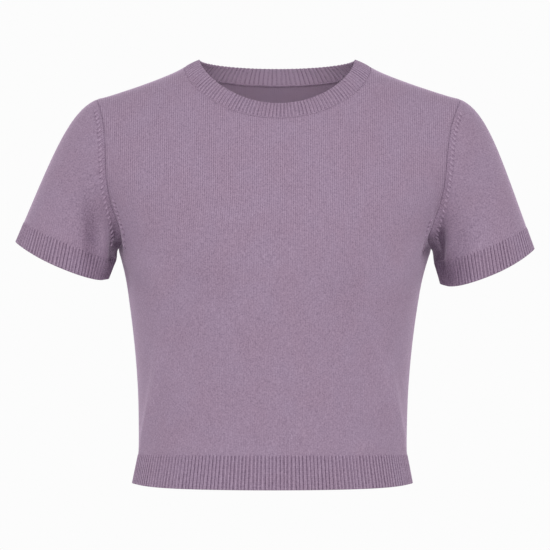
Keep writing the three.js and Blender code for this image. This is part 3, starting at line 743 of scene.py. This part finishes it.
# %% [markdown]
# ## Hem, cuffs and neckband
# The hem runs straight down and flares a little at its edge. The cuffs sit close to the arm. The
# neckband stands up from the neckline and arches over slightly.

# %% All bands
for face, side_name in ((-1, "front"), (1, "back")):
    angle = even_angles(HEM_RIBS * RIB_POINTS + 1, face)
    seam = trunk(angle, hem_seam(angle), face)
    edge = trunk(angle, hem_edge(angle), face)
    band(f"hem_rib_{side_name}", seam, edge, 0.0, face, False, lengths(edge)[-1] / HEM_RIBS)

for name, (seam, edge) in cuffs.items():
    band(f"cuff_rib_{name}", seam, edge, 0.0, SLEEVES[name]["side"], True,
         lengths(looped(edge))[-1] / CUFF_RIBS)

band("neckband", neck_seam, neck_edge, NECK_CROWN, 1, True,
     lengths(looped((neck_seam + neck_edge) / 2))[-1] / NECK_RIBS, NECK_RIB_VALLEY_SHADE)

# %% [markdown]
# ## Stitches that show
# The neckband is linked on with a chain of small stitches, and where the knitter narrows a sleeve or a
# panel, a stitch carried over its neighbour leaves a slanting mark. Each is a small closed grain of
# yarn, with painted light and shade from its foot to its top, and the shadow in the small hole beside a
# mark is a dark grain of painted shade. One grain is worked out once and placed hundreds of times by
# multiplying arrays.

# %% Grains of yarn
def grain():
    """A small closed ball: four rings of six points, and each pole as six points in one place."""
    tilt = np.linspace(0, np.pi, 6)[:, None]
    turn = np.linspace(0, 2 * np.pi, 7)[:-1]
    x, y, z = np.sin(tilt) * np.cos(turn), np.sin(tilt) * np.sin(turn), np.cos(tilt)
    ball = np.stack(np.broadcast_arrays(x, y, z), -1)
    r, c = np.broadcast_arrays(np.arange(5)[:, None], np.arange(6))
    c2 = (c + 1) % 6
    faces = np.stack([r * 6 + c, (r + 1) * 6 + c, (r + 1) * 6 + c2, r * 6 + c2], -1).reshape(-1, 4)
    return ball.reshape(-1, 3), faces


def grains(name, centres, long_way, out_way, size, painted_light, light=1.0):
    """Grains at the centres: the ball's x along the long way, its y across it and its z outwards, each
    times a half size. The painted light and shade go from the first value at the foot to the second on
    top, times light: painted shade for the light that the folds keep from the grain."""
    ball, faces = grain()
    cross_way = unit(np.cross(out_way, long_way))
    long_way = unit(np.cross(cross_way, out_way))
    ways = np.stack([long_way * size[0], cross_way * size[1], out_way * size[2]], 1)
    points = centres[:, None] + np.einsum("pk,nkj->npj", ball, ways)
    uv = np.broadcast_to(ball[faces][..., :2], (len(centres), *faces.shape, 2)).reshape(-1, 4, 2)
    faces = faces[None] + (np.arange(len(centres)) * len(ball))[:, None, None]
    light = np.broadcast_to(light, len(centres))[:, None]
    shade = light * np.interp(ball[:, 2], (-1, 1), painted_light)
    return add_mesh(name, points, faces.reshape(-1, 4), uv, shade, np.zeros_like(shade))


def along_line(line, ways, pitch):
    """Points, directions and outward ways at equal lengths along a line."""
    run = lengths(line)
    at = np.arange(int(run[-1] / pitch)) * pitch
    point, tangent, way = (np.stack([np.interp(at, run, values[:, k]) for k in range(3)], -1)
                           for values in (line, np.gradient(line, axis=0), ways))
    return point, unit(tangent), unit(way)


def on_surface(places, surface):
    """Places dropped along the normal of the nearest point of a surface onto its tangent plane, and
    those normals."""
    points, normals = (values.reshape(-1, 3) for values in surface)
    near = nearest(places, points)
    way = normals[near]
    return places + way * ((points[near] - places) * way).sum(-1, keepdims=True), way


# %% Linking stitches round the neck
LINKING_PITCH = 2.4  # mm
# mm outwards and down from the seam, slant down for each mm along it, half sizes in mm, painted light at
# the foot and on top
LINKING = {
    "neck_linking": ("neck_linking_stitches", 0.1, 0.8, 0.35, (1.1, 0.5, 0.45), (0.7, 1.25)),
    "neck_inner_linking": ("neck_inner_stitches", -2.1, -1.1, -0.3, (1.15, 0.85, 0.75), (1.35, 1.0)),
}
centre, tangent, way = along_line(neck_line, neck_way, LINKING_PITCH)
down = unit(np.cross(tangent, way))
for key, (name, out, below, slant, size, painted_light) in LINKING.items():
    pieces[key] = grains(
        name, centre + way * out + down * below, tangent + down * slant, way, size, painted_light)

# %% Slanting marks beside the armholes
# A narrowing stitch stands up beside the small hole that it leaves, and the hole's shadow is a dark grain
# of painted shade. mm: pitch along the seam, distance from it at LEVEL_Z and at the lowest mark, which is
# below 0 on the body, highest and lowest z
LEVEL_Z = -90
MARKS = {
    "left": {"sleeve": (5.2, 4.3, 6.2, -24, -158), "body": (4.6, -3.6, -4.6, -112, -156)},
    "right": {"sleeve": (5.2, 4.3, 5.6, -24, -158), "body": (4.6, -3.6, -4.6, -134, -160)},
}
MARK_RISE = {"sleeve": 0.9, "body": 1.2}  # how steeply a mark runs up the seam
HOLE_OUT, HOLE_DOWN = 1.2, 1.8  # mm from the mark to its hole
HOLE_LIGHT = {"sleeve": 1, "body": 0.5}
MARK_LIGHT = 0.4  # share of a raised stitch's painted light that the folds' painted shade doesn't take


def across_seam(normal, up, side):
    """The direction in the surface across a seam, away from the body, and how much of it the front view
    shows."""
    way = unit(np.cross(normal, up))
    return way * np.sign(way[:, :1]) * side, np.abs(way[:, :1]).clip(0.4)


raised, hole_shadows = [], []
for name, (line, ways) in arm_seams.items():
    for part, (pitch, top_out, low_out, highest, lowest) in MARKS[name].items():
        centre, tangent, way = along_line(line, ways, pitch)
        out = np.interp(centre[:, 2], (lowest, LEVEL_Z), (low_out, top_out))[:, None]
        upward = tangent * np.sign(tangent[:, 2:])
        for face, side_name in ((-1, "front"), (1, "back")):
            take = (centre[:, 2] < highest) & (centre[:, 2] > lowest) & (centre[:, 1] * face > 0)
            seam_point, up, apart, normal = centre[take], upward[take], out[take], way[take]
            surface = surfaces[f"sleeve_{name}" if part == "sleeve" else f"{side_name}_panel"]
            for _ in range(2):  # the direction at the seam, and then the one where the mark lies
                out_way, shown = across_seam(normal, up, SLEEVES[name]["side"])
                place, normal = on_surface(seam_point + out_way * apart / shown, surface)
            slant = up * MARK_RISE[part] + (-out_way if part == "sleeve" else out_way / shown)
            hole, hole_normal = on_surface(
                place + out_way * np.sign(apart) * HOLE_OUT - up * HOLE_DOWN, surface)
            light = MARK_LIGHT + (1 - MARK_LIGHT) * hollow_shade(place)
            raised.append((place + normal * 0.1, slant, normal, light))
            # the hole's shadow: painted shade, deeper in a fold and on the body
            light = hollow_shade(hole) * HOLE_LIGHT[part]
            hole_shadows.append((hole - hole_normal * 0.1, slant, hole_normal, light))
for key, name, marks, size, painted_light in (
        ("raised_marks", "armhole_fashioning_marks", raised, (2.9, 1.2, 1.0), (0.6, 1.35)),
        ("mark_hole_shadows", "armhole_fashioning_hole_shadows", hole_shadows, (2.5, 0.9, 0.35), (0.7, 0.7))):
    centre, slant, normal, light = map(np.concatenate, zip(*marks))
    pieces[key] = grains(name, centre, slant, normal, size, painted_light, light)

# %% [markdown]
# ## Finish
# The yarn is a viscose blend, dyed in the yarn and knitted fine: matt, with a soft bloom where the
# surface turns away, from the fibre ends that stand off it. The bloom is sheen. The stitches are drawn
# from the map in millimetres, as wales one beside another and courses that slant to both sides of each
# wale. Real wales are about 1.9 mm apart here and just too fine for one picture point to a millimetre,
# so they are drawn 2.2 mm apart. Shade between wales and ribs, in folds and along seams is painted into
# the colour, and so is the paler light on the inner faces.

# %% Colours and nodes
def linear(hex_colour):
    """An sRGB hex colour as linear red, green, blue and alpha."""
    srgb = np.array([int(hex_colour[i:i + 2], 16) for i in (1, 3, 5)]) / 255
    return (*np.where(srgb <= 0.04045, srgb / 12.92, ((srgb + 0.055) / 1.055) ** 2.4), 1.0)


def add(tree, kind, inputs=None, **settings):
    """Adds a shader node with its settings, and sets each input to a value or links it to another's
    output, the first one if only the node is given."""
    node = tree.nodes.new("ShaderNode" + kind)
    for key, value in settings.items():
        setattr(node, key, value)
    for key, value in (inputs or {}).items():
        if isinstance(value, bpy.types.Node):
            value = value.outputs[0]
        if isinstance(value, bpy.types.NodeSocket):
            tree.links.new(value, node.inputs[key])
        else:
            node.inputs[key].default_value = value
    return node


# %% Knitted yarn
YARN, CLOUD, PAINTED_LIGHT_SHARE = 0.85, 0.1, 0.62  # how far the two noises and the painted light and shade carried by the mesh move the tone
YARN_SCALE, CLOUD_SCALE = 720, 30  # to a metre: yarn about 1.5 mm long, clouds about 30 mm
# the yarn's crest colours, the dark mauve that paints shade in valleys, folds and seams and darkens some
# yarn, and the sheen's tint
CREST_MAUVE, BLUER_CREST, SHADE_AND_DARK_YARN_MAUVE, BLOOM = "#b9a0b7", "#b7a0b8", "#57415a", "#d6bfd8"
WALE_ROUNDNESS, WALE_MEAN = 0.7, 0.6
COURSE_SHARE, COURSE_DELAY = 0.16, 1.3
YARN_BUMP = 0.35


def knit(name, wale, course, stitch_height, contrast):
    """A knitted finish. Its height is a round ridge across each wale plus a share of the slanting courses.
    Its tone is the painted light and shade that the mesh carries, plus painted shade between the wales:
    that height times the contrast where wales show clearly, plus two noises that make it uneven like yarn.
    The colour goes with the tone from the dark mauve of shade and yarn to the crest's, and the crest's is
    bluer in some clouds of dye."""
    material = bpy.data.materials.new(name)
    material.use_nodes = True
    tree = material.node_tree
    tree.nodes.clear()

    uv = add(tree, "UVMap", uv_map="cloth")
    place = add(tree, "TexCoord").outputs["Object"]
    parts = add(tree, "SeparateXYZ", {0: uv})
    painted_light, clear = (add(tree, "Attribute", attribute_name=attribute).outputs["Fac"]
                     for attribute in ("painted_light", "clear"))
    # wales: 0 in the valley between two, 1 on the crest
    fold = add(tree, "Math", {0: parts.outputs[0], 1: wale / 2}, operation="PINGPONG")
    across = add(tree, "Math", {0: fold, 1: 2 / wale}, operation="MULTIPLY")
    ridge_height = add(tree, "Math", {0: across, 1: WALE_ROUNDNESS}, operation="POWER")
    # courses: a wave along the wale that comes later towards its crest
    turns = 2 * np.pi / course
    along = add(tree, "Math", {0: parts.outputs[1], 1: turns}, operation="MULTIPLY")
    slant = add(tree, "Math", {0: fold, 1: COURSE_DELAY * turns, 2: along}, operation="MULTIPLY_ADD")
    courses = add(tree, "Math", {0: slant}, operation="SINE")
    height = add(tree, "Math", {0: courses, 1: COURSE_SHARE, 2: ridge_height}, operation="MULTIPLY_ADD")
    # noises of the yarn and of its dye
    yarn, cloud = (add(tree, "TexNoise", {"Vector": place, "Scale": scale})
                   for scale in (YARN_SCALE, CLOUD_SCALE))
    fuzzy = add(tree, "Math", {0: yarn, 1: YARN_BUMP, 2: height}, operation="MULTIPLY_ADD")
    bump = add(tree, "Bump", {"Strength": 0.6, "Distance": stitch_height * MM, "Height": fuzzy})
    # tone: painted light and shade of the mesh, painted shade between the wales, yarn and clouds
    painted_wale_shade = add(tree, "Math", {0: height, 1: contrast, 2: -WALE_MEAN * contrast}, operation="MULTIPLY_ADD")
    tone = add(tree, "Math", {0: painted_light, 1: PAINTED_LIGHT_SHARE, 2: -(YARN + CLOUD) / 2}, operation="MULTIPLY_ADD")
    for part, share in ((painted_wale_shade, clear), (yarn, YARN), (cloud, CLOUD)):
        tone = add(tree, "Math", {0: part, 1: share, 2: tone}, operation="MULTIPLY_ADD")
    tone.use_clamp = True
    bluer = add(tree, "MapRange", {"Value": cloud, "From Min": 0.35, "From Max": 0.65})
    dye = add(tree, "Mix", {0: bluer, 6: linear(CREST_MAUVE), 7: linear(BLUER_CREST)}, data_type="RGBA")
    colour = add(tree, "Mix", {0: tone, 6: linear(SHADE_AND_DARK_YARN_MAUVE), 7: dye.outputs[2]}, data_type="RGBA")
    shader = add(tree, "BsdfPrincipled", {
        "Base Color": colour.outputs[2], "Roughness": 0.92, "Specular IOR Level": 0.25, "Sheen Weight": 1.0,
        "Sheen Roughness": 0.36, "Sheen Tint": linear(BLOOM), "Normal": bump.outputs[0]})
    add(tree, "OutputMaterial", {"Surface": shader.outputs[0]})
    return material


# matt, with wales whose painted shade reads as upright hairlines on the chest
plain_knit = knit("fine_plain_viscose_knit", wale=2.2, course=1.7, stitch_height=0.35, contrast=0.34)
# the same yarn: fine stitches that break up each rib's crest
rib_knit = knit("ribbed_viscose_knit", wale=1.87, course=2.0, stitch_height=0.3, contrast=0.3)

# %% [markdown]
# ## Putting the pieces in their places
# Each finer piece stands for one piece of the bare model and takes the finish of its slot.

# %% Ride, replace and finish
# The size that each piece is knitted to, laid flat: width and length in mm, and area in cm2.
CUTS = {
    "front_panel": (410, 405, 1330), "back_panel": (400, 415, 1370),
    "sleeve_left": (300, 150, 275), "sleeve_right": (305, 152, 283),
    "neckband": (500, 21, 96), "hem_rib_front": (378, 34, 124), "hem_rib_back": (375, 34, 123),
    "cuff_rib_left": (305, 26, 74), "cuff_rib_right": (308, 27, 79),
}
for name, piece in pieces.items():
    slot = "plain_knit" if "panel" in name or "sleeve" in name or "mark" in name else "rib_knit"
    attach(piece, "root")
    piece.data.materials.append(plain_knit if slot == "plain_knit" else rib_knit)
    if name in CUTS:
        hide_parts(name)

# %% [markdown]
# ## Studio
# Knitwear is lit softly from all round, so that nothing but the folds and ribs throws a shadow. The
# world is the studio's pale wall and gives most of the light, less of it from the ceiling. A large soft
# lamp in front adds a direction and reaches in at the neck. The floor lies far below.

# %% Floor, world and lamp
CEILING = 0.55  # brightness straight above, against 1 at eye level
FLOOR_RADIUS, FLOOR_Z, FLOOR_POINTS = 45, -4.6, 96  # metres
LAMP_PLACE, LAMP_SIZE, LAMP_POWER = (0.1, -3.1, 0.5), 2.4, 28  # metres and watts
LAMP_TURN = np.radians((78, 0, 2))
world = bpy.data.worlds.new("studio")
world.use_nodes = True
sky = world.node_tree
sky.nodes.clear()
place = add(sky, "TexCoord").outputs["Generated"]
way = add(sky, "SeparateXYZ", {0: place})
height = add(sky, "MapRange", {
    "Value": way.outputs["Z"], "From Min": 0.2, "To Min": 1.0, "To Max": CEILING})
backdrop = add(sky, "Background", {"Color": linear("#fcfcfc"), "Strength": height})
add(sky, "OutputWorld", {"Surface": backdrop.outputs[0]})
bpy.context.scene.world = world

turn = np.linspace(0, 2 * np.pi, FLOOR_POINTS + 1)[:-1]
rim = np.stack([np.cos(turn) * FLOOR_RADIUS, np.sin(turn) * FLOOR_RADIUS, np.full_like(turn, FLOOR_Z)], -1)
floor_mesh = bpy.data.meshes.new("studio_floor")
floor_mesh.from_pydata(rim.tolist(), [], [list(range(FLOOR_POINTS))])
floor_paint = bpy.data.materials.new("matt_white_floor_paint")
floor_paint.use_nodes = True
floor_shader = floor_paint.node_tree.nodes["Principled BSDF"]
floor_shader.inputs["Base Color"].default_value = linear("#f4f4f4")
floor_shader.inputs["Roughness"].default_value = 0.9
floor_mesh.materials.append(floor_paint)
put("studio_floor", floor_mesh)

lamp_data = bpy.data.lights.new("softbox", "AREA")
lamp_data.shape = "DISK"
lamp_data.size = LAMP_SIZE
lamp_data.energy = LAMP_POWER
lamp = put("softbox", lamp_data)
lamp.location = LAMP_PLACE
lamp.rotation_euler = LAMP_TURN
bpy.context.scene.view_settings.view_transform = "Standard"
